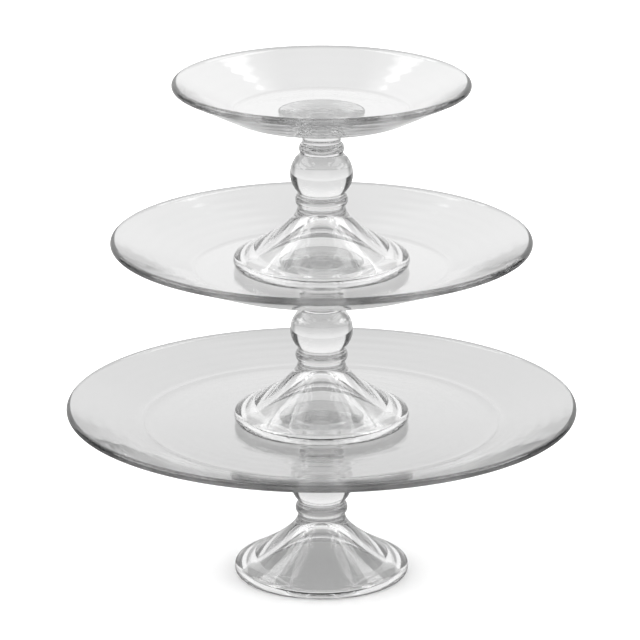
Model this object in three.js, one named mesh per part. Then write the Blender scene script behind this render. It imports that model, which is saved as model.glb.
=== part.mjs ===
// A three-tier glass cake stand: three footed plates of falling size that stack foot on floor.
// Each tier is a shallow round plate on a solid-stemmed pedestal with a hollow bell foot, and a thin clear
// glue film joins the two.
// Units are millimetres, +Z is up, and the origin is the middle of the lowest foot's underside.
import * as THREE from 'three';

// ---- Plate sizes ----
const FLOOR_THICKNESS = 5;
const RIM_THICKNESS = 4.8; // plate wall at its rounded rim
const FLOOR_MARGIN = 22.9; // flat floor left round a foot that stands on it

// ---- Pedestal heights, from the table up ----
const LIP_HALF_HEIGHT = 4.3; // rounded lip of the foot
const BELL_HEIGHT = 40; // foot's underside to the lower neck
const SWEEP_TURN = 11; // how far below the lower neck the bell's straight side would meet it
const HOLLOW_ROOF = 6; // solid glass between the hollow and the lower neck
const THROAT_DEPTH = 9; // how far below its crown the hollow starts to flare
const MOUTH_HEIGHT = 3; // where the flare ends, above the surface the foot stands on
const LOWER_NECK_HEIGHT = 1.4;
const LOWER_COLLAR_HALF_HEIGHT = 3;
const LOWER_GROOVE_HEIGHT = 2.2;
const BALL_HALF_HEIGHT = 18.2; // the ball is a little flattened
const UPPER_GROOVE_HEIGHT = 0.8;
const UPPER_COLLAR_HALF_HEIGHT = 3.4;
const UPPER_NECK_HEIGHT = 1.7;
const FLARE_HEIGHT = 13.3; // upper neck to the flange's underside
const FLANGE_THICKNESS = 2; // at the flange's edge

// ---- Pedestal radii and walls ----
const FOOT_RADIUS = 56.6; // widest part of the lip
const LIP_HALF_WIDTH = 3.4;
const FOOT_RING_WIDTH = 2.2; // flat ring the foot stands on
const CROWN_RADIUS = 6; // the hollow's crown: a small rounded arch
const THROAT_RADIUS = 10.5; // below the crown, where the hollow starts to flare
const UNDERSIDE_WIDTH = 11; // nearly flat glass between the flare and the ring
const LOWER_NECK_RADIUS = 15.3;
const LOWER_COLLAR_PROJECTION = 1.6;
const BALL_RADIUS = 20.3;
const UPPER_COLLAR_PROJECTION = 2.2;
const UPPER_NECK_RADIUS = 12.4;
const FLANGE_RADIUS = 27.8;

// ---- Glue film ----
const GLUE_THICKNESS = 0.3;
const GLUE_SETBACK = 0.5; // the film stops this far inside the flange's edge

// ---- Tiers, from the bottom up ----
// floorRadius is the flat part of the floor, rimHeight the middle of the rounded rim above the floor, and
// bendRadius the curve from floor to wall. A floor that carries a foot is sized from the foot.
const FOOTING_RADIUS = FOOT_RADIUS + FLOOR_MARGIN;
const TIERS = [
  { name: 'large', rimRadius: 165, rimHeight: 9.4, floorRadius: FOOTING_RADIUS + 28.5, bendRadius: 60 },
  { name: 'medium', rimRadius: 135.4, rimHeight: 16.5, floorRadius: FOOTING_RADIUS, bendRadius: 15 },
  { name: 'small', rimRadius: 95.4, rimHeight: 15.8, floorRadius: 52, bendRadius: 14 },
];

const PLATE_SIDES = 64; // facets round a plate
const PEDESTAL_SIDES = 40; // facets round a pedestal and its glue film
const RIGHT_ANGLE = Math.PI / 2;

// ---- Outline helpers: x is the radius and y the height ----
function point(radius, height) {
  return new THREE.Vector2(radius, height);
}

// Points along an ellipse's arc, both ends included. Angles are in radians, 0 outwards and a right angle up.
function arc(centre, halfWidth, halfHeight, from, to, steps) {
  const points = [];
  for (let i = 0; i <= steps; i += 1) {
    const angle = from + ((to - from) * i) / steps;
    points.push(point(centre.x + halfWidth * Math.cos(angle), centre.y + halfHeight * Math.sin(angle)));
  }
  return points;
}

// A solid of revolution about +Z. The outline starts at the bottom of the axis, runs up the outside and ends
// at the top of the axis.
function turned(outline, sides) {
  const geometry = new THREE.LatheGeometry(outline, sides);
  geometry.rotateX(RIGHT_ANGLE);
  return geometry;
}

// ---- Pedestal: hollow bell foot, neck, collar, ball, collar, neck and flange ----
// The foot: a flat ring, a rounded lip that is wider than the ring, and a sweep that rises into the neck.
function footOutside() {
  const lipCentre = point(FOOT_RADIUS - LIP_HALF_WIDTH, LIP_HALF_HEIGHT);
  const lipTopAngle = 1.13;
  const lip = arc(lipCentre, LIP_HALF_WIDTH, LIP_HALF_HEIGHT, -RIGHT_ANGLE, lipTopAngle, 4);
  const sweep = new THREE.QuadraticBezierCurve(
    lip.pop(),
    point(LOWER_NECK_RADIUS, BELL_HEIGHT - SWEEP_TURN),
    point(LOWER_NECK_RADIUS, BELL_HEIGHT),
  );
  return [...lip, ...sweep.getPoints(7)];
}

// The hollow: a small arched crown that flares down to a nearly flat underside and the ring's inner edge.
function footInside() {
  const ringInside = FOOT_RADIUS - LIP_HALF_WIDTH - FOOT_RING_WIDTH;
  const crown = BELL_HEIGHT - HOLLOW_ROOF;
  const flare = new THREE.CubicBezierCurve(
    point(0, crown),
    point(CROWN_RADIUS, crown),
    point(THROAT_RADIUS, crown - THROAT_DEPTH),
    point(ringInside - UNDERSIDE_WIDTH, MOUTH_HEIGHT),
  );
  return [...flare.getPoints(7), point(ringInside, 0)];
}

// The stem: a half-round collar, the ball and a second smaller collar, with a groove beside each.
function stemOutside() {
  const lowerCollar = point(LOWER_NECK_RADIUS, BELL_HEIGHT + LOWER_NECK_HEIGHT + LOWER_COLLAR_HALF_HEIGHT);
  const ballFrom = -Math.acos(LOWER_NECK_RADIUS / BALL_RADIUS);
  const ballBottom = lowerCollar.y + LOWER_COLLAR_HALF_HEIGHT + LOWER_GROOVE_HEIGHT;
  const ballCentre = point(0, ballBottom - BALL_HALF_HEIGHT * Math.sin(ballFrom));
  const collarFrom = -0.87;
  const grooveRadius = UPPER_NECK_RADIUS + UPPER_COLLAR_PROJECTION * Math.cos(collarFrom);
  const ballTo = Math.acos(grooveRadius / BALL_RADIUS);
  const ballTop = ballCentre.y + BALL_HALF_HEIGHT * Math.sin(ballTo);
  const upperCollar = point(
    UPPER_NECK_RADIUS,
    ballTop + UPPER_GROOVE_HEIGHT - UPPER_COLLAR_HALF_HEIGHT * Math.sin(collarFrom),
  );
  return [
    ...arc(lowerCollar, LOWER_COLLAR_PROJECTION, LOWER_COLLAR_HALF_HEIGHT, -RIGHT_ANGLE, RIGHT_ANGLE, 5),
    ...arc(ballCentre, BALL_RADIUS, BALL_HALF_HEIGHT, ballFrom, ballTo, 8),
    ...arc(upperCollar, UPPER_COLLAR_PROJECTION, UPPER_COLLAR_HALF_HEIGHT, collarFrom, RIGHT_ANGLE, 5),
  ];
}

// The flange: flares out from the upper neck to a flat top.
function flangeOutside(collarTop) {
  const neckTop = point(UPPER_NECK_RADIUS, collarTop + UPPER_NECK_HEIGHT);
  const flangeUnder = neckTop.y + FLARE_HEIGHT;
  const flare = new THREE.QuadraticBezierCurve(
    neckTop,
    point(UPPER_NECK_RADIUS, flangeUnder - FLANGE_THICKNESS / 2),
    point(FLANGE_RADIUS, flangeUnder),
  );
  return [...flare.getPoints(5), point(FLANGE_RADIUS, flangeUnder + FLANGE_THICKNESS)];
}

const stem = stemOutside();
const flange = flangeOutside(stem.at(-1).y);
const PEDESTAL_HEIGHT = flange.at(-1).y;
const PEDESTAL_OUTLINE = [...footInside(), ...footOutside(), ...stem, ...flange, point(0, PEDESTAL_HEIGHT)];

// ---- Glue film: a thin disc on top of the flange ----
const GLUE_TOP = PEDESTAL_HEIGHT + GLUE_THICKNESS;
const GLUE_OUTLINE = [
  point(0, PEDESTAL_HEIGHT),
  point(FLANGE_RADIUS - GLUE_SETBACK, PEDESTAL_HEIGHT),
  point(FLANGE_RADIUS - GLUE_SETBACK, GLUE_TOP),
  point(0, GLUE_TOP),
];

// ---- Plate: flat floor, one soft bend, a straight sloping wall and a rounded rim ----
// Foot's underside to the plate's floor: what the next tier is lifted by.
const TIER_HEIGHT = GLUE_TOP + FLOOR_THICKNESS;

// The slope of the straight line that touches the bend circle from below and the round rim: on the rim's
// upper side when rimSide is 1 (inside the plate), on its lower side when rimSide is -1 (the underside).
function wallSlope(bendCentre, bendRadius, rimCentre, rimSide) {
  const run = rimCentre.x - bendCentre.x;
  const rise = rimCentre.y - bendCentre.y;
  const offset = bendRadius + (rimSide * RIM_THICKNESS) / 2;
  return Math.asin(offset / Math.hypot(run, rise)) + Math.atan2(rise, run);
}

// The plate's outline, in its tier's own heights. Floor and underside bend about one centre, so the bend is
// as thick as the floor and the wall thins evenly to the rim.
function plateOutline({ rimRadius, rimHeight, floorRadius, bendRadius }) {
  const rimCentre = point(rimRadius - RIM_THICKNESS / 2, TIER_HEIGHT + rimHeight);
  const bendCentre = point(floorRadius, TIER_HEIGHT + bendRadius);
  const underRadius = bendRadius + FLOOR_THICKNESS;
  const insideSlope = wallSlope(bendCentre, bendRadius, rimCentre, 1);
  const underSlope = wallSlope(bendCentre, underRadius, rimCentre, -1);
  const rimHalf = RIM_THICKNESS / 2;
  const underEnd = underSlope - RIGHT_ANGLE;
  const insideEnd = insideSlope - RIGHT_ANGLE;
  const underside = arc(bendCentre, underRadius, underRadius, -RIGHT_ANGLE, underEnd, 4);
  const rim = arc(rimCentre, rimHalf, rimHalf, underEnd, insideSlope + RIGHT_ANGLE, 6);
  const inside = arc(bendCentre, bendRadius, bendRadius, insideEnd, -RIGHT_ANGLE, 4);
  return [point(0, GLUE_TOP), ...underside, ...rim, ...inside, point(0, TIER_HEIGHT)];
}

// ---- Materials ----
function clearMaterial(name, color, roughness) {
  const material = new THREE.MeshStandardMaterial({ color, roughness, metalness: 0 });
  material.name = name;
  return material;
}

const plateGlass = clearMaterial('plate_glass', 0xe4ebea, 0.03);
const pedestalGlass = clearMaterial('pedestal_glass', 0xe4ebea, 0.03);
const clearGlue = clearMaterial('clear_glue', 0xd6dad8, 0.25);

// ---- Assembly: each tier's foot stands on the floor of the plate below ----
const cakeStand = new THREE.Group();
cakeStand.name = 'three_tier_cake_stand';

function addPiece(name, geometry, material, lift) {
  const mesh = new THREE.Mesh(geometry, material);
  mesh.name = name;
  mesh.position.z = lift;
  cakeStand.add(mesh);
}

TIERS.forEach((tier, level) => {
  const footHeight = level * TIER_HEIGHT;
  addPiece(`${tier.name}_pedestal`, turned(PEDESTAL_OUTLINE, PEDESTAL_SIDES), pedestalGlass, footHeight);
  addPiece(`${tier.name}_glue`, turned(GLUE_OUTLINE, PEDESTAL_SIDES), clearGlue, footHeight);
  addPiece(`${tier.name}_plate`, turned(plateOutline(tier), PLATE_SIDES), plateGlass, footHeight);
});

export default cakeStand;
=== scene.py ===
import math

import bmesh
import bpy
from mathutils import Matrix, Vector


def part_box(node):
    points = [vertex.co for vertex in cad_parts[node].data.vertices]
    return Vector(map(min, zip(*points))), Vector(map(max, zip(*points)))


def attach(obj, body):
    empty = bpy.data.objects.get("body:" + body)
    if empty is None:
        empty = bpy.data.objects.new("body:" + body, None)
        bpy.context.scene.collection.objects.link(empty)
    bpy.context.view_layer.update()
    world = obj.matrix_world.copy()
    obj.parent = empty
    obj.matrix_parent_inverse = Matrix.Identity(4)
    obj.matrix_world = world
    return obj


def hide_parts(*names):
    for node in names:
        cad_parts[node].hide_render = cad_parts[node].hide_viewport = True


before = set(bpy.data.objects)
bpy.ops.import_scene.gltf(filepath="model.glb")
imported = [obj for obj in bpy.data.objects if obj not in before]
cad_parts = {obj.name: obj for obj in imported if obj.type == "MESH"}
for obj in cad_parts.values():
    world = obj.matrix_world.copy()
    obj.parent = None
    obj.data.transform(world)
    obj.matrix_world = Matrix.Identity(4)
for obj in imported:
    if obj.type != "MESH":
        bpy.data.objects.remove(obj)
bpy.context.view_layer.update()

# ---------------------------------------------------------------------------------------------------------
# Pedestals. Each tier stands on one pressed-glass moulding: a bell foot with a small hollow under it, a
# collar, a solid ball, a second collar, and a flange that carries the plate. A flame polishes the glass
# after pressing, so it is clear, faintly wavy, and round at every edge.
# ---------------------------------------------------------------------------------------------------------
MM = 0.001
RIGHT_ANGLE = math.pi / 2
TIERS = ("large", "medium", "small")

# Heights from the table up, in mm.
LIP_HALF_HEIGHT = 4.3
BELL_HEIGHT = 40
SWEEP_TURN = 11
HOLLOW_ROOF = 6
THROAT_DEPTH = 9
MOUTH_HEIGHT = 3
LOWER_NECK_HEIGHT = 1.4
LOWER_COLLAR_HALF_HEIGHT = 3
LOWER_GROOVE_HEIGHT = 2.2
BALL_HALF_HEIGHT = 18.2
UPPER_GROOVE_HEIGHT = 0.8
UPPER_COLLAR_HALF_HEIGHT = 3.4
UPPER_NECK_HEIGHT = 1.7
FLARE_HEIGHT = 13.3
FLANGE_THICKNESS = 2

# Radii and roundings, in mm.
FOOT_RADIUS = 56.6
LIP_HALF_WIDTH = 3.4
LIP_TOP_ANGLE = 1.13
FOOT_RING_WIDTH = 2.2
RING_ROUNDING = 0.4
CROWN_RADIUS = 6
THROAT_RADIUS = 10.5
UNDERSIDE_WIDTH = 11
LOWER_NECK_RADIUS = 15.3
LOWER_COLLAR_PROJECTION = 1.6
BALL_RADIUS = 20.3
UPPER_NECK_RADIUS = 12.4
UPPER_COLLAR_PROJECTION = 2.2
UPPER_COLLAR_START = -0.87
FLANGE_RADIUS = 27.8
FLANGE_ROUNDING = 0.4
STANDING_GAP = 0.03  # air left under a foot's ring
PEDESTAL_FACETS = 160

GLASS_REFRACTION = 1.52
RING_WANDER = 0.6  # how far the mould rings stray from true circles
CORD_SPAN = (0.5, 0.75)  # how far up the noise cords start and are at their strongest
SMEAR_SPAN = (0.55, 0.75)


def arc(centre, half_width, half_height, start, end, steps):
    """Outline points along an ellipse, as (radius, height); angle 0 is outwards and a right angle is up."""
    angles = [start + (end - start) * step / steps for step in range(steps + 1)]
    return [(centre[0] + half_width * math.cos(a), centre[1] + half_height * math.sin(a)) for a in angles]


def sweep(knots, steps):
    """Outline points along one Bezier curve of three or four knots."""
    points = []
    for step in range(steps + 1):
        level = [Vector(knot) for knot in knots]
        while len(level) > 1:
            level = [a.lerp(b, step / steps) for a, b in zip(level, level[1:])]
        points.append(tuple(level[0]))
    return points


def turn_piece(name, outline, base_height, facets):
    """Spins an outline in mm once round the upright axis into a closed, smooth piece."""
    bm = bmesh.new()
    corners = [bm.verts.new((radius * MM, 0, base_height + height * MM)) for radius, height in outline]
    edges = [bm.edges.new(pair) for pair in zip(corners, corners[1:])]
    bmesh.ops.spin(bm, geom=corners + edges, cent=(0, 0, 0), axis=(0, 0, 1), angle=2 * math.pi,
                   steps=facets, use_merge=True)
    bmesh.ops.remove_doubles(bm, verts=bm.verts, dist=0.002 * MM)
    bmesh.ops.recalc_face_normals(bm, faces=bm.faces)
    for face in bm.faces:
        face.smooth = True
    mesh = bpy.data.meshes.new(name)
    bm.to_mesh(mesh)
    bm.free()
    piece = bpy.data.objects.new(name, mesh)
    bpy.context.scene.collection.objects.link(piece)
    return piece


def arithmetic(tree, operation, first, second=None):
    """One sum in a node tree. Each side is a number or another node's output."""
    node = tree.nodes.new("ShaderNodeMath")
    node.operation = operation
    for socket, value in zip(node.inputs, (first, second)):
        if isinstance(value, (int, float)):
            socket.default_value = value
        elif value is not None:
            tree.links.new(value, socket)
    return node.outputs["Value"]


def soft_step(tree, value, start, end, at_start, at_end):
    """Goes smoothly from one number to another while the value goes from start to end."""
    node = tree.nodes.new("ShaderNodeMapRange")
    node.interpolation_type = "SMOOTHSTEP"
    tree.links.new(value, node.inputs["Value"])
    node.inputs["From Min"].default_value = start
    node.inputs["From Max"].default_value = end
    node.inputs["To Min"].default_value = at_start
    node.inputs["To Max"].default_value = at_end
    return node.outputs["Result"]


def noise(tree, position, scale, detail):
    """Soft random blotches from 0 to 1; a larger scale makes them smaller."""
    node = tree.nodes.new("ShaderNodeTexNoise")
    tree.links.new(position, node.inputs["Vector"])
    tree.links.new(scale, node.inputs["Scale"])
    node.inputs["Detail"].default_value = detail
    return node.outputs["Fac"]


def make_pressed_surface():
    """What pressing leaves in glass: slow waves and turned rings from the mould, cords of denser glass, and
    wiped smears."""
    group = bpy.data.node_groups.new("pressed_surface", "ShaderNodeTree")
    sockets = group.interface
    sockets.new_socket("Position", in_out="INPUT", socket_type="NodeSocketVector")
    sockets.new_socket("Wave Scale", in_out="INPUT", socket_type="NodeSocketFloat")
    sockets.new_socket("Ring Scale", in_out="INPUT", socket_type="NodeSocketFloat")
    sockets.new_socket("Ring Share", in_out="INPUT", socket_type="NodeSocketFloat")
    sockets.new_socket("Cord Scale", in_out="INPUT", socket_type="NodeSocketFloat")
    sockets.new_socket("Smear Scale", in_out="INPUT", socket_type="NodeSocketFloat")
    sockets.new_socket("Clear Colour", in_out="INPUT", socket_type="NodeSocketColor")
    sockets.new_socket("Cord Colour", in_out="INPUT", socket_type="NodeSocketColor")
    sockets.new_socket("Smear Roughness", in_out="INPUT", socket_type="NodeSocketFloat")
    sockets.new_socket("Colour", in_out="OUTPUT", socket_type="NodeSocketColor")
    sockets.new_socket("Roughness", in_out="OUTPUT", socket_type="NodeSocketFloat")
    sockets.new_socket("Height", in_out="OUTPUT", socket_type="NodeSocketFloat")
    given = group.nodes.new("NodeGroupInput").outputs
    result = group.nodes.new("NodeGroupOutput").inputs
    waves = noise(group, given["Position"], given["Wave Scale"], detail=1)
    rings = group.nodes.new("ShaderNodeTexWave")
    rings.wave_type = "RINGS"
    rings.rings_direction = "Z"
    rings.inputs["Distortion"].default_value = RING_WANDER
    rings.inputs["Detail"].default_value = 1
    group.links.new(given["Position"], rings.inputs["Vector"])
    group.links.new(given["Ring Scale"], rings.inputs["Scale"])
    ring_height = arithmetic(group, "MULTIPLY", rings.outputs["Fac"], given["Ring Share"])
    group.links.new(arithmetic(group, "ADD", waves, ring_height), result["Height"])
    blotches = noise(group, given["Position"], given["Cord Scale"], detail=2)
    cords = soft_step(group, blotches, *CORD_SPAN, 0.0, 1.0)
    blend = group.nodes.new("ShaderNodeMix")
    blend.data_type = "RGBA"
    group.links.new(cords, blend.inputs["Factor"])
    group.links.new(given["Clear Colour"], blend.inputs["A"])
    group.links.new(given["Cord Colour"], blend.inputs["B"])
    group.links.new(blend.outputs["Result"], result["Colour"])
    wipes = noise(group, given["Position"], given["Smear Scale"], detail=3)
    smears = soft_step(group, wipes, *SMEAR_SPAN, 0.0, 1.0)
    group.links.new(arithmetic(group, "MULTIPLY", smears, given["Smear Roughness"]), result["Roughness"])
    return group


pressed_surface = make_pressed_surface()


def make_glass(name, density, clear, cord, wave_scale, wave_depth, ring_scale, ring_share, cord_scale,
               smear_scale, smear_roughness):
    """Clear glass that darkens a little with every metre of it that light goes through (density), under the
    pressed surface. Wave depth is in mm and the scales are in blotches or rings per metre."""
    material = bpy.data.materials.new(name)
    material.use_nodes = True
    tree = material.node_tree
    shader = tree.nodes["Principled BSDF"]
    shader.inputs["IOR"].default_value = GLASS_REFRACTION
    shader.inputs["Transmission Weight"].default_value = 1.0
    place = tree.nodes.new("ShaderNodeTexCoord")
    surface = tree.nodes.new("ShaderNodeGroup")
    surface.node_tree = pressed_surface
    tree.links.new(place.outputs["Object"], surface.inputs["Position"])
    surface.inputs["Wave Scale"].default_value = wave_scale
    surface.inputs["Ring Scale"].default_value = ring_scale
    surface.inputs["Ring Share"].default_value = ring_share
    surface.inputs["Cord Scale"].default_value = cord_scale
    surface.inputs["Smear Scale"].default_value = smear_scale
    surface.inputs["Clear Colour"].default_value = (*clear, 1)
    surface.inputs["Cord Colour"].default_value = (*cord, 1)
    surface.inputs["Smear Roughness"].default_value = smear_roughness
    tree.links.new(surface.outputs["Colour"], shader.inputs["Base Color"])
    tree.links.new(surface.outputs["Roughness"], shader.inputs["Roughness"])
    relief = tree.nodes.new("ShaderNodeBump")
    relief.inputs["Distance"].default_value = wave_depth * MM
    tree.links.new(surface.outputs["Height"], relief.inputs["Height"])
    tree.links.new(relief.outputs["Normal"], shader.inputs["Normal"])
    body = tree.nodes.new("ShaderNodeVolumeAbsorption")
    body.inputs["Color"].default_value = (0, 0, 0, 1)
    body.inputs["Density"].default_value = density
    tree.links.new(body.outputs["Volume"], tree.nodes["Material Output"].inputs["Volume"])
    return material


def foot_outside():
    """The rounded lip and the bell's sweep up to the lower neck."""
    lip_centre = (FOOT_RADIUS - LIP_HALF_WIDTH, LIP_HALF_HEIGHT)
    lip = arc(lip_centre, LIP_HALF_WIDTH, LIP_HALF_HEIGHT, -RIGHT_ANGLE, LIP_TOP_ANGLE, steps=24)
    turn = (LOWER_NECK_RADIUS, BELL_HEIGHT - SWEEP_TURN)
    bell = sweep([lip[-1], turn, (LOWER_NECK_RADIUS, BELL_HEIGHT)], steps=40)
    return lip[1:] + bell[1:]


def foot_inside():
    """The hollow's small arched crown, its flare, the underside and the ring the foot stands on."""
    ring_inside = FOOT_RADIUS - LIP_HALF_WIDTH - FOOT_RING_WIDTH
    crown = BELL_HEIGHT - HOLLOW_ROOF
    throat = (THROAT_RADIUS, crown - THROAT_DEPTH)
    mouth = (ring_inside - UNDERSIDE_WIDTH, MOUTH_HEIGHT)
    hollow = sweep([(0, crown), (CROWN_RADIUS, crown), throat, mouth], steps=60)
    ring_centre = (ring_inside + RING_ROUNDING, RING_ROUNDING)
    ring = arc(ring_centre, RING_ROUNDING, RING_ROUNDING - STANDING_GAP, -math.pi, -RIGHT_ANGLE, steps=5)
    return hollow + ring


def stem_outside():
    """The lower collar, the ball and the upper collar, with a groove beside each."""
    collar_height = BELL_HEIGHT + LOWER_NECK_HEIGHT + LOWER_COLLAR_HALF_HEIGHT
    collar = arc((LOWER_NECK_RADIUS, collar_height), LOWER_COLLAR_PROJECTION, LOWER_COLLAR_HALF_HEIGHT,
                 -RIGHT_ANGLE, RIGHT_ANGLE, steps=20)
    ball_start = -math.acos(LOWER_NECK_RADIUS / BALL_RADIUS)
    ball_bottom = collar_height + LOWER_COLLAR_HALF_HEIGHT + LOWER_GROOVE_HEIGHT
    ball_centre = ball_bottom - BALL_HALF_HEIGHT * math.sin(ball_start)
    groove_radius = UPPER_NECK_RADIUS + UPPER_COLLAR_PROJECTION * math.cos(UPPER_COLLAR_START)
    ball_end = math.acos(groove_radius / BALL_RADIUS)
    ball = arc((0, ball_centre), BALL_RADIUS, BALL_HALF_HEIGHT, ball_start, ball_end, steps=48)
    upper_rise = UPPER_GROOVE_HEIGHT - UPPER_COLLAR_HALF_HEIGHT * math.sin(UPPER_COLLAR_START)
    upper_collar = arc((UPPER_NECK_RADIUS, ball[-1][1] + upper_rise), UPPER_COLLAR_PROJECTION,
                       UPPER_COLLAR_HALF_HEIGHT, UPPER_COLLAR_START, RIGHT_ANGLE, steps=20)
    return collar + ball + upper_collar


def flange_outside(neck_bottom):
    """The flare from the upper neck out to the flange, whose edge is rounded over."""
    neck_top = neck_bottom + UPPER_NECK_HEIGHT
    underside = neck_top + FLARE_HEIGHT
    turn = (UPPER_NECK_RADIUS, underside - FLANGE_THICKNESS / 2)
    edge_radius = FLANGE_RADIUS - FLANGE_ROUNDING
    flare = sweep([(UPPER_NECK_RADIUS, neck_top), turn, (edge_radius, underside)], steps=24)
    edge_centre = (edge_radius, underside + FLANGE_THICKNESS - FLANGE_ROUNDING)
    edge = arc(edge_centre, FLANGE_ROUNDING, FLANGE_ROUNDING, 0, RIGHT_ANGLE, steps=6)
    return flare + edge + [(0, underside + FLANGE_THICKNESS)]


stem = stem_outside()
pedestal_outline = foot_inside() + foot_outside() + stem + flange_outside(stem[-1][1])
pedestal_glass = make_glass("pedestal_glass", density=4.0, clear=(1.0, 1.0, 1.0), cord=(0.985, 0.988, 0.987),
                            wave_scale=70, wave_depth=0.03, ring_scale=60, ring_share=0.2,
                            cord_scale=45, smear_scale=30, smear_roughness=0.012)
for tier in TIERS:
    foot_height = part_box(f"{tier}_pedestal")[0][2]
    pedestal = turn_piece(f"{tier}_pedestal_glass", pedestal_outline, foot_height, PEDESTAL_FACETS)
    pedestal.data.materials.append(pedestal_glass)
    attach(pedestal, f"{tier}_tier")
    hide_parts(f"{tier}_pedestal")

# ---------------------------------------------------------------------------------------------------------
# Glue films. A drop of clear adhesive is pressed out to a thin disc between each flange and its plate and
# cured there. It is a little cloudy, with a few trapped bubbles, so it shows grey through the floor.
# ---------------------------------------------------------------------------------------------------------
GLUE_THICKNESS = 0.3
GLUE_SETBACK = 0.5  # the film stops this far inside the flange's edge
GLUE_RADIUS = FLANGE_RADIUS - GLUE_SETBACK
GLUE_EDGE = 0.1  # rounding at the rim of the film
GLUE_KEYING = 0.05  # how far it wets into the flange and the plate
GLUE_FACETS = 128

GLUE_REFRACTION = 1.51
CLOUD_SCALE = 120
CLOUD_SPAN = (0.3, 0.7)
HAZE = (0.02, 0.08)  # roughness where the film is clearest and cloudiest
BUBBLE_SCALE = 320
BUBBLE_SPAN = (0.1, 0.16)  # a bubble's inner and outer edge, as a share of the spacing
BUBBLE_ROUGHNESS = 0.25


def make_glue():
    """Cloudy clear adhesive with small bubbles."""
    material = bpy.data.materials.new("clear_glue")
    material.use_nodes = True
    tree = material.node_tree
    shader = tree.nodes["Principled BSDF"]
    shader.inputs["IOR"].default_value = GLUE_REFRACTION
    shader.inputs["Transmission Weight"].default_value = 1.0
    place = tree.nodes.new("ShaderNodeTexCoord")
    clouds = tree.nodes.new("ShaderNodeTexNoise")
    clouds.inputs["Scale"].default_value = CLOUD_SCALE
    clouds.inputs["Detail"].default_value = 3
    tree.links.new(place.outputs["Object"], clouds.inputs["Vector"])
    cells = tree.nodes.new("ShaderNodeTexVoronoi")
    cells.inputs["Scale"].default_value = BUBBLE_SCALE
    tree.links.new(place.outputs["Object"], cells.inputs["Vector"])
    bubbles = soft_step(tree, cells.outputs["Distance"], *BUBBLE_SPAN, 1.0, 0.0)
    haze = soft_step(tree, clouds.outputs["Fac"], *CLOUD_SPAN, *HAZE)
    rough = arithmetic(tree, "ADD", haze, arithmetic(tree, "MULTIPLY", bubbles, BUBBLE_ROUGHNESS))
    tree.links.new(rough, shader.inputs["Roughness"])
    tone = tree.nodes.new("ShaderNodeMix")
    tone.data_type = "RGBA"
    tone.inputs["A"].default_value = (0.99, 0.992, 0.992, 1)
    tone.inputs["B"].default_value = (0.95, 0.953, 0.953, 1)
    tree.links.new(clouds.outputs["Fac"], tone.inputs["Factor"])
    tree.links.new(tone.outputs["Result"], shader.inputs["Base Color"])
    return material


glue_outline = [
    (0, -GLUE_KEYING),
    *arc((GLUE_RADIUS - GLUE_EDGE, 0), GLUE_EDGE, GLUE_KEYING, -RIGHT_ANGLE, 0, steps=3),
    *arc((GLUE_RADIUS - GLUE_EDGE, GLUE_THICKNESS), GLUE_EDGE, GLUE_KEYING, 0, RIGHT_ANGLE, steps=3),
    (0, GLUE_THICKNESS + GLUE_KEYING),
]
clear_glue = make_glue()
for tier in TIERS:
    glue_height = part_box(f"{tier}_glue")[0][2]
    film = turn_piece(f"{tier}_glue_film", glue_outline, glue_height, GLUE_FACETS)
    film.data.materials.append(clear_glue)
    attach(film, f"{tier}_tier")
    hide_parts(f"{tier}_glue")

# ---------------------------------------------------------------------------------------------------------
# Plates. Three pressed-glass plates of falling size, each with a flat floor, a soft bend, a straight sloping
# wall and a rounded rim. The largest is the shallowest. Each is glued to its pedestal's flange. All sizes
# are in mm.
# ---------------------------------------------------------------------------------------------------------
FLOOR_THICKNESS = 5
RIM_THICKNESS = 4.8
FLOOR_MARGIN = 22.9  # flat floor left round a foot that stands on it
INSIDE_BEND = 5  # the plunger presses a tighter bend inside than the mould gives underneath
LARGE_FLOOR_EXTRA = 28.5  # the largest plate's floor is this much wider still
FOOTING_RADIUS = FOOT_RADIUS + FLOOR_MARGIN
PLATE_SIZES = {
    "large": {
        "rim_radius": 165,
        "rim_height": 9.4,
        "floor_radius": FOOTING_RADIUS + LARGE_FLOOR_EXTRA,
        "under_bend": 65,
    },
    "medium": {
        "rim_radius": 135.4,
        "rim_height": 16.5,
        "floor_radius": FOOTING_RADIUS,
        "under_bend": 20,
    },
    "small": {
        "rim_radius": 95.4,
        "rim_height": 15.8,
        "floor_radius": 52,
        "under_bend": 19,
    },
}
PLATE_FACETS = 256


def wall_slope(bend_centre, bend_radius, rim_centre, rim_side):
    """Slope of the straight line that touches the bend from below and the rim on its upper side (1) or its
    lower side (-1)."""
    run = rim_centre[0] - bend_centre[0]
    rise = rim_centre[1] - bend_centre[1]
    offset = bend_radius + rim_side * RIM_THICKNESS / 2
    return math.asin(offset / math.hypot(run, rise)) + math.atan2(rise, run)


def plate_outline(rim_radius, rim_height, floor_radius, under_bend):
    """Heights are above the plate's own floor. The inside bend is tighter than one that runs level with the
    underside's, but it leads into the same straight wall, so it is set from the corner where floor and wall
    would meet."""
    rim_half = RIM_THICKNESS / 2
    rim_centre = (rim_radius - rim_half, rim_height)
    level_bend = under_bend - FLOOR_THICKNESS
    bend_centre = (floor_radius, level_bend)
    inside = wall_slope(bend_centre, level_bend, rim_centre, 1)
    under = wall_slope(bend_centre, under_bend, rim_centre, -1)
    corner = floor_radius + level_bend * math.tan(inside / 2)
    inside_centre = (corner - INSIDE_BEND * math.tan(inside / 2), INSIDE_BEND)
    return [
        (0, -FLOOR_THICKNESS),
        *arc(bend_centre, under_bend, under_bend, -RIGHT_ANGLE, under - RIGHT_ANGLE, steps=24),
        *arc(rim_centre, rim_half, rim_half, under - RIGHT_ANGLE, inside + RIGHT_ANGLE, steps=24),
        *arc(inside_centre, INSIDE_BEND, INSIDE_BEND, inside - RIGHT_ANGLE, -RIGHT_ANGLE, steps=12),
        (0, 0),
    ]


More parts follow.
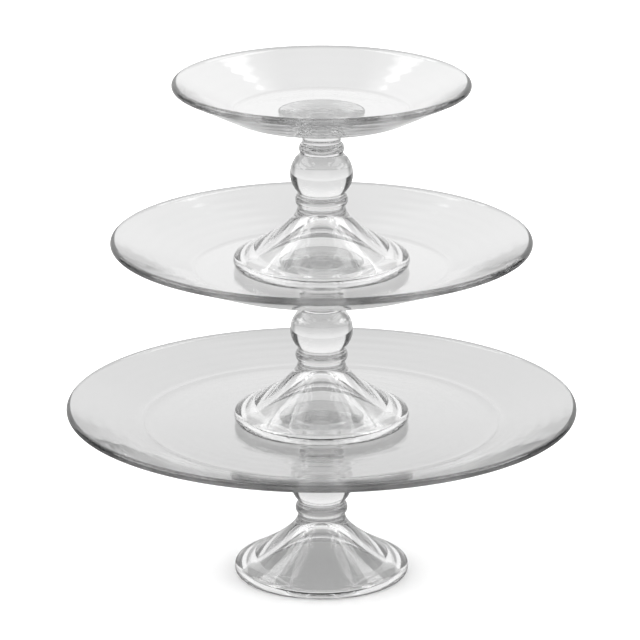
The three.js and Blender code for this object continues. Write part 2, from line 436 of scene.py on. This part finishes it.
plate_glass = make_glass("plate_glass", density=4.0, clear=(1.0, 1.0, 1.0), cord=(0.985, 0.988, 0.987),
                         wave_scale=38, wave_depth=0.05, ring_scale=36, ring_share=0.4,
                         cord_scale=22, smear_scale=16, smear_roughness=0.012)
for tier in TIERS:
    plate_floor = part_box(f"{tier}_plate")[0][2] + FLOOR_THICKNESS * MM
    plate = turn_piece(f"{tier}_plate_glass", plate_outline(**PLATE_SIZES[tier]), plate_floor, PLATE_FACETS)
    plate.data.materials.append(plate_glass)
    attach(plate, f"{tier}_tier")
    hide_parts(f"{tier}_plate")

# ---------------------------------------------------------------------------------------------------------
# Table: a wide sheet of matt white paper. Seen through the glass it glows with painted light: bright far in
# front of and behind the stand, with a painted shadow under the stand and painted shade out to the sides,
# where the studio's black screens stand.
# ---------------------------------------------------------------------------------------------------------
TABLE_HALF_SIZE = 6.0  # lengths in metres
TABLE_REACH = 3.0  # distance at which the painted light stops changing
# Distance from the stand's middle and the painted light there; it is darkest at the middle, a painted shadow
# of the stand.
TABLE_PAINTED_LIGHT = ((0, 0.40), (0.2, 0.52), (0.33, 0.62), (0.67, 0.78), (1.0, 0.88), (1.6, 0.95), (2.9, 1.0))
LIT_ANGLE = 42  # the table's painted light is full this far either side of straight behind or in front, in degrees
DARK_ANGLE = 55  # and this far off it has its full painted side shade
# Painted shade: the table's painted light out at the sides, where the black screens stand.
SIDE_PAINTED_SHADE = 0.5
NEAR_RADIUS = 0.06  # closer to the stand than this the painted side shade is left out
FAR_RADIUS = 0.22
PAPER_WHITE = 0.97
NEVER_ZERO = 0.001  # keeps a division from failing straight under or over the stand


def make_table_paper():
    """Matt white paper to the eye, and to whatever looks at it through glass a sheet that glows with painted
    light and shade: a painted shadow under the stand and painted shade to the sides.
    """
    material = bpy.data.materials.new("table_paper")
    material.use_nodes = True
    tree = material.node_tree
    paper = tree.nodes["Principled BSDF"]
    paper.inputs["Base Color"].default_value = (PAPER_WHITE, PAPER_WHITE, PAPER_WHITE, 1)
    paper.inputs["Roughness"].default_value = 1.0
    paper.inputs["Specular IOR Level"].default_value = 0.0
    place = tree.nodes.new("ShaderNodeTexCoord")
    distance = tree.nodes.new("ShaderNodeVectorMath")
    distance.operation = "LENGTH"
    tree.links.new(place.outputs["Object"], distance.inputs[0])
    away = distance.outputs["Value"]
    # Painted shadow: the table's painted light is darkest under the stand and grows brighter farther off.
    painted_grades = tree.nodes.new("ShaderNodeValToRGB")
    tree.links.new(arithmetic(tree, "DIVIDE", away, TABLE_REACH), painted_grades.inputs["Fac"])
    stops = painted_grades.color_ramp.elements
    while len(stops) < len(TABLE_PAINTED_LIGHT):
        stops.new(0.5)
    for stop, (radius, brightness) in zip(stops, TABLE_PAINTED_LIGHT):
        stop.position = radius / TABLE_REACH
        stop.color = (brightness, brightness, brightness, 1)
    split = tree.nodes.new("ShaderNodeSeparateXYZ")
    tree.links.new(place.outputs["Object"], split.inputs["Vector"])
    depth = arithmetic(tree, "ABSOLUTE", split.outputs["Y"])
    facing = arithmetic(tree, "DIVIDE", depth, arithmetic(tree, "MAXIMUM", away, NEVER_ZERO))
    dark = math.cos(math.radians(DARK_ANGLE))
    lit = math.cos(math.radians(LIT_ANGLE))
    # Painted shade: the painted light is dimmer out to the sides.
    painted_side_shade = soft_step(tree, facing, dark, lit, SIDE_PAINTED_SHADE, 1.0)
    near = soft_step(tree, away, NEAR_RADIUS, FAR_RADIUS, 1.0, 0.0)
    # Rays that come through glass see this glow, painted light in place of the lit paper, with the painted
    # shadow and shade above.
    painted_glow = tree.nodes.new("ShaderNodeEmission")
    tree.links.new(painted_grades.outputs["Color"], painted_glow.inputs["Color"])
    tree.links.new(arithmetic(tree, "MAXIMUM", painted_side_shade, near), painted_glow.inputs["Strength"])
    path = tree.nodes.new("ShaderNodeLightPath")
    choose = tree.nodes.new("ShaderNodeMixShader")
    tree.links.new(path.outputs["Is Camera Ray"], choose.inputs["Fac"])
    tree.links.new(painted_glow.outputs["Emission"], choose.inputs[1])
    tree.links.new(paper.outputs["BSDF"], choose.inputs[2])
    tree.links.new(choose.outputs["Shader"], tree.nodes["Material Output"].inputs["Surface"])
    return material


def make_table():
    """A square sheet that the stand's foot rests on."""
    bm = bmesh.new()
    bmesh.ops.create_grid(bm, x_segments=1, y_segments=1, size=TABLE_HALF_SIZE)
    mesh = bpy.data.meshes.new("table")
    bm.to_mesh(mesh)
    bm.free()
    mesh.materials.append(make_table_paper())
    table = bpy.data.objects.new("table", mesh)
    bpy.context.scene.collection.objects.link(table)
    return table


make_table()

# ---------------------------------------------------------------------------------------------------------
# Studio light. To the eye and to the table the room is evenly white. The glass sees more of it: a white
# backdrop behind and a paler wall in front, both brighter higher up, black screens at the sides, a dim
# ceiling, and a narrow and a wide soft box overhead on each side.
# ---------------------------------------------------------------------------------------------------------
ROOM_BRIGHTNESS = 2.2
BACKDROP_BRIGHTNESS = 1.1
BACKDROP_EDGE = (44, 38)  # degrees either side of straight behind: outside dark, inside bright
SCREEN_BRIGHTNESS = 0.01
HORIZON_SHARE = 0.8  # the backdrop at the horizon, as a share of its full brightness
FULL_ELEVATION = 25  # degrees up, where it is fully bright
BACKDROP_TOP = (50, 60)  # degrees up, where it gives way to the ceiling
CEILING_BRIGHTNESS = 0.25
FRONT_BRIGHTNESS = 0.8
FRONT_EDGE = (-0.95, -0.75)  # cosines of the angle from straight behind where the front wall fades out
SOFT_BOXES_ACROSS = ((0.42, 0.6), (0.8, 2.4))  # where each box starts and ends sideways, per metre up
SOFT_BOX_ALONG = (-0.7, 0.75)  # the same from front to back
SOFT_BOX_EDGE = 0.04
SOFT_BOX_LOWEST = 0.05  # the boxes are drawn down to this upward part of the direction
SOFT_BOX_BRIGHTNESS = 3.2


def within(tree, value, span, edge):
    """1 while the value is inside the span and 0 outside it, with a narrow soft edge."""
    start, end = span
    entering = soft_step(tree, value, start - edge, start + edge, 0.0, 1.0)
    leaving = soft_step(tree, value, end - edge, end + edge, 1.0, 0.0)
    return arithmetic(tree, "MULTIPLY", entering, leaving)


def make_studio():
    """The room round the stand, by direction: x to the right, y to the back and z up."""
    world = bpy.data.worlds.new("studio")
    world.use_nodes = True
    tree = world.node_tree
    place = tree.nodes.new("ShaderNodeTexCoord")
    direction = place.outputs["Generated"]
    split = tree.nodes.new("ShaderNodeSeparateXYZ")
    tree.links.new(direction, split.inputs["Vector"])
    x, y, z = split.outputs
    level_squared = arithmetic(tree, "ADD", arithmetic(tree, "MULTIPLY", x, x),
                               arithmetic(tree, "MULTIPLY", y, y))
    level = arithmetic(tree, "SQRT", level_squared)
    facing = arithmetic(tree, "DIVIDE", y, arithmetic(tree, "MAXIMUM", level, NEVER_ZERO))
    outside, inside = (math.cos(math.radians(angle)) for angle in BACKDROP_EDGE)
    backdrop = soft_step(tree, facing, outside, inside, SCREEN_BRIGHTNESS, BACKDROP_BRIGHTNESS)
    front = soft_step(tree, facing, *FRONT_EDGE, FRONT_BRIGHTNESS, 0.0)
    elevation = arithmetic(tree, "MULTIPLY", arithmetic(tree, "ARCSINE", z), math.degrees(1))
    rise = soft_step(tree, elevation, 0, FULL_ELEVATION, HORIZON_SHARE, 1.0)
    below_ceiling = soft_step(tree, elevation, *BACKDROP_TOP, 1.0, 0.0)
    walls = arithmetic(tree, "MULTIPLY", arithmetic(tree, "ADD", backdrop, front),
                       arithmetic(tree, "MULTIPLY", rise, below_ceiling))
    ceiling = soft_step(tree, elevation, *BACKDROP_TOP, 0.0, CEILING_BRIGHTNESS)
    total = arithmetic(tree, "ADD", walls, ceiling)
    height = arithmetic(tree, "MAXIMUM", z, SOFT_BOX_LOWEST)
    across = arithmetic(tree, "DIVIDE", arithmetic(tree, "ABSOLUTE", x), height)
    along = arithmetic(tree, "DIVIDE", y, height)
    lit_length = arithmetic(tree, "MULTIPLY", within(tree, along, SOFT_BOX_ALONG, SOFT_BOX_EDGE),
                            SOFT_BOX_BRIGHTNESS)
    for span in SOFT_BOXES_ACROSS:
        box = arithmetic(tree, "MULTIPLY", within(tree, across, span, SOFT_BOX_EDGE), lit_length)
        total = arithmetic(tree, "ADD", total, box)
    path = tree.nodes.new("ShaderNodeLightPath")
    glass_met = arithmetic(tree, "ADD", path.outputs["Transmission Depth"], path.outputs["Glossy Depth"])
    choose = tree.nodes.new("ShaderNodeMix")
    no_glass_met = arithmetic(tree, "LESS_THAN", glass_met, 0.5)
    tree.links.new(no_glass_met, choose.inputs["Factor"])
    tree.links.new(total, choose.inputs["A"])
    choose.inputs["B"].default_value = ROOM_BRIGHTNESS
    background = tree.nodes["Background"]
    background.inputs["Color"].default_value = (1, 1, 1, 1)
    tree.links.new(choose.outputs["Result"], background.inputs["Strength"])
    return world


bpy.context.scene.world = make_studio()

# Light bounces round inside thick glass and rims many times before it gets out.
LIGHT_BOUNCES = 160
bpy.context.scene.cycles.max_bounces = LIGHT_BOUNCES
bpy.context.scene.cycles.transmission_bounces = LIGHT_BOUNCES
bpy.context.scene.cycles.glossy_bounces = LIGHT_BOUNCES

# ---------------------------------------------------------------------------------------------------------
# Camera: a long lens about three metres off, looking slightly down on the middle of the stand.
# ---------------------------------------------------------------------------------------------------------
CAMERA_PITCH = math.radians(17.33)
CAMERA_DISTANCE = 3.0584
CAMERA_LENS = 267.345  # mm on a 36 mm sensor
CAMERA_AIM = Vector((-0.001, 0, 0.17146))  # half way up the stand

camera = bpy.data.objects.new("camera", bpy.data.cameras.new("camera"))
camera.data.lens = CAMERA_LENS
towards_camera = Vector((0, -math.cos(CAMERA_PITCH), math.sin(CAMERA_PITCH)))
camera.location = CAMERA_AIM + towards_camera * CAMERA_DISTANCE
camera.rotation_euler = (RIGHT_ANGLE - CAMERA_PITCH, 0, 0)
bpy.context.scene.collection.objects.link(camera)
bpy.context.scene.camera = camera
bpy.context.scene.view_settings.view_transform = "Standard"
